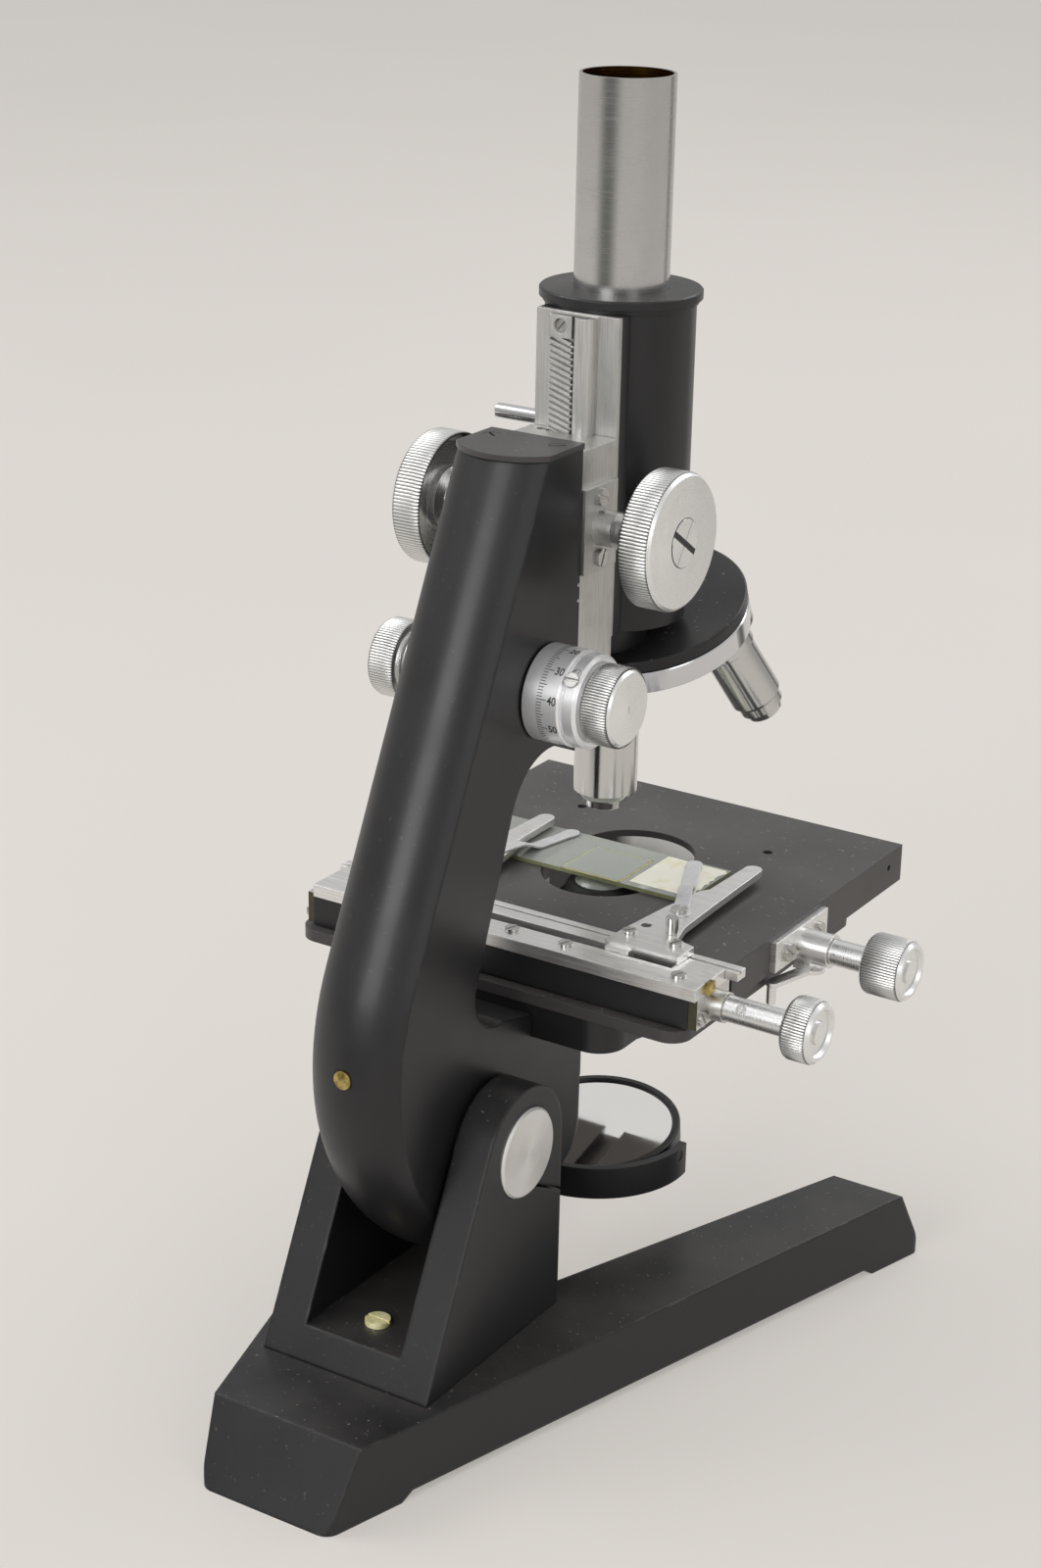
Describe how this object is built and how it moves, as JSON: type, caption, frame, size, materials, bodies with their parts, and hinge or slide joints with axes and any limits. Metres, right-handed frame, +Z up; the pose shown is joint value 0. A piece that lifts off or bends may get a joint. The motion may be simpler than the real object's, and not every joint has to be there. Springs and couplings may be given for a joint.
{
  "type": "compound microscope",
  "caption": "Monocular compound bench microscope on a splayed foot, with an inclining limb, rack focusing, a revolving nosepiece, a mechanical slide stage and a gimballed mirror.",
  "frame": {"origin": "centre of the rear foot pad, on the bench", "axes": "+Z up along the optical axis, +Y from the limb towards the front of the stage, +X towards the stage control knobs"},
  "size_m": [0.174, 0.2263, 0.3397],
  "materials": {
    "black_enamel": "satin",
    "black_plate": "satin",
    "aluminium": "machined",
    "chrome": "polished",
    "steel": "turned",
    "brass": "polished",
    "glass": "polished",
    "mirror": "polished",
    "black_anodised": "anodised"
  },
  "bodies": {
    "stand": {"base_casting": "black_enamel", "pillar": "black_enamel", "base_bolts": "steel", "pivot_pin": "steel", "pivot_caps": "aluminium", "recess_screw": "brass"},
    "limb": {"arm": "black_enamel", "arm_cap": "black_plate", "arm_cap_screws": "black_plate", "stop_pin": "brass", "stage_bracket": "black_enamel", "stage_base": "black_plate", "stage_base_screws": "steel", "condenser_bracket": "black_enamel", "mirror_bracket": "black_enamel"},
    "fine_block": {"focus_block": "aluminium", "pinion_bearings": "aluminium", "bearing_screws": "steel"},
    "fine_drive": {"fine_shaft": "steel", "fine_drum": "chrome", "fine_knobs": "chrome", "fine_set_screws": "steel"},
    "coarse_drive": {"pinion_shaft": "steel", "coarse_knobs": "chrome", "knob_screws": "steel"},
    "tube": {"body_tube": "black_enamel", "slide_plate": "aluminium", "rack": "steel", "rack_screws": "steel", "tube_flange": "black_enamel", "eyepiece_tube": "chrome", "tube_stud": "chrome", "nosepiece_plate": "black_enamel"},
    "nosepiece": {"turret": "chrome", "turret_screw": "chrome", "objective_working": "chrome", "objective_side": "chrome", "objective_lenses": "glass"},
    "stage_top": {"stage_plate": "black_plate", "rail_body": "black_plate", "x_rail": "aluminium", "rail_end_plates": "aluminium", "stage_screws": "steel", "y_bearing": "aluminium", "tension_arm": "aluminium"},
    "y_drive": {"y_shaft": "steel", "y_knob": "chrome"},
    "x_drive": {"x_screw": "steel", "x_knob": "chrome"},
    "slide_carrier": {"slide_bar": "steel", "slide_holder": "chrome", "holder_screws": "steel", "glass_slide": "glass"},
    "finger_right": {"right_finger": "chrome"},
    "finger_left": {"left_finger": "chrome"},
    "condenser_mount": {"condenser": "black_anodised", "condenser_lens": "glass"},
    "mirror_swivel": {"mirror_fork": "black_enamel"},
    "mirror": {"mirror_cell": "chrome", "mirror_glass": "mirror"}
  },
  "joints": [
    {"name": "inclination", "type": "hinge", "parent": "stand", "child": "limb", "pos_m": [0, 0.0683, 0.0748], "axis": [1, 0, 0], "range_deg": [0, 50]},
    {"name": "fine_travel", "type": "slide", "parent": "limb", "child": "fine_block", "axis": [0, 0, 1], "range_m": [-0.001, 0.001]},
    {"name": "fine_turn", "type": "hinge", "parent": "limb", "child": "fine_drive", "pos_m": [0, 0.0928, 0.1922], "axis": [1, 0, 0], "range_deg": [-901, 901]},
    {"name": "coarse_travel", "type": "slide", "parent": "fine_block", "child": "tube", "axis": [0, 0, 1], "range_m": [-0.012, 0.025]},
    {"name": "coarse_turn", "type": "hinge", "parent": "fine_block", "child": "coarse_drive", "pos_m": [0, 0.11584, 0.2301], "axis": [1, 0, 0], "range_deg": [-98, 203]},
    {"name": "nosepiece_turn", "type": "hinge", "parent": "tube", "child": "nosepiece", "pos_m": [0, 0.1616, 0.1965], "axis": [0, -0.3322, 0.9432], "continuous": true},
    {"name": "stage_travel", "type": "slide", "parent": "limb", "child": "stage_top", "axis": [0, 1, 0], "range_m": [-0.02, 0]},
    {"name": "y_knob_turn", "type": "hinge", "parent": "stage_top", "child": "y_drive", "pos_m": [0.064, 0.15, 0.1134], "axis": [1, 0, 0], "range_deg": [-1, 290]},
    {"name": "slide_travel", "type": "slide", "parent": "stage_top", "child": "slide_carrier", "axis": [1, 0, 0], "range_m": [-0.03, 0.012]},
    {"name": "x_knob_turn", "type": "hinge", "parent": "stage_top", "child": "x_drive", "pos_m": [0.064, 0.1, 0.1148], "axis": [1, 0, 0], "range_deg": [-1090, 440]},
    {"name": "right_finger_pivot", "type": "hinge", "parent": "slide_carrier", "child": "finger_right", "pos_m": [0.0366, 0.126, 0.1236], "axis": [0, 0, 1], "range_deg": [-8, 20]},
    {"name": "left_finger_pivot", "type": "hinge", "parent": "slide_carrier", "child": "finger_left", "pos_m": [-0.0282, 0.126, 0.1236], "axis": [0, 0, 1], "range_deg": [-20, 8]},
    {"name": "condenser_travel", "type": "slide", "parent": "limb", "child": "condenser_mount", "axis": [0, 0, 1], "range_m": [-0.012, 0]},
    {"name": "mirror_swivel", "type": "hinge", "parent": "limb", "child": "mirror_swivel", "pos_m": [0, 0.108, 0.037], "axis": [0, 1, 0], "range_deg": [-25, 25]},
    {"name": "mirror_tilt", "type": "hinge", "parent": "mirror_swivel", "child": "mirror", "pos_m": [0, 0.147, 0.04], "axis": [1, 0, 0], "range_deg": [-55, 50]}
  ],
  "couplings": [
    {"joint": "fine_turn", "follows": "fine_travel", "rad_per_m": 15708},
    {"joint": "coarse_turn", "follows": "coarse_travel", "rad_per_m": 141.67},
    {"joint": "y_knob_turn", "follows": "stage_travel", "rad_per_m": -250},
    {"joint": "x_knob_turn", "follows": "slide_travel", "rad_per_m": 628.32}
  ]
}
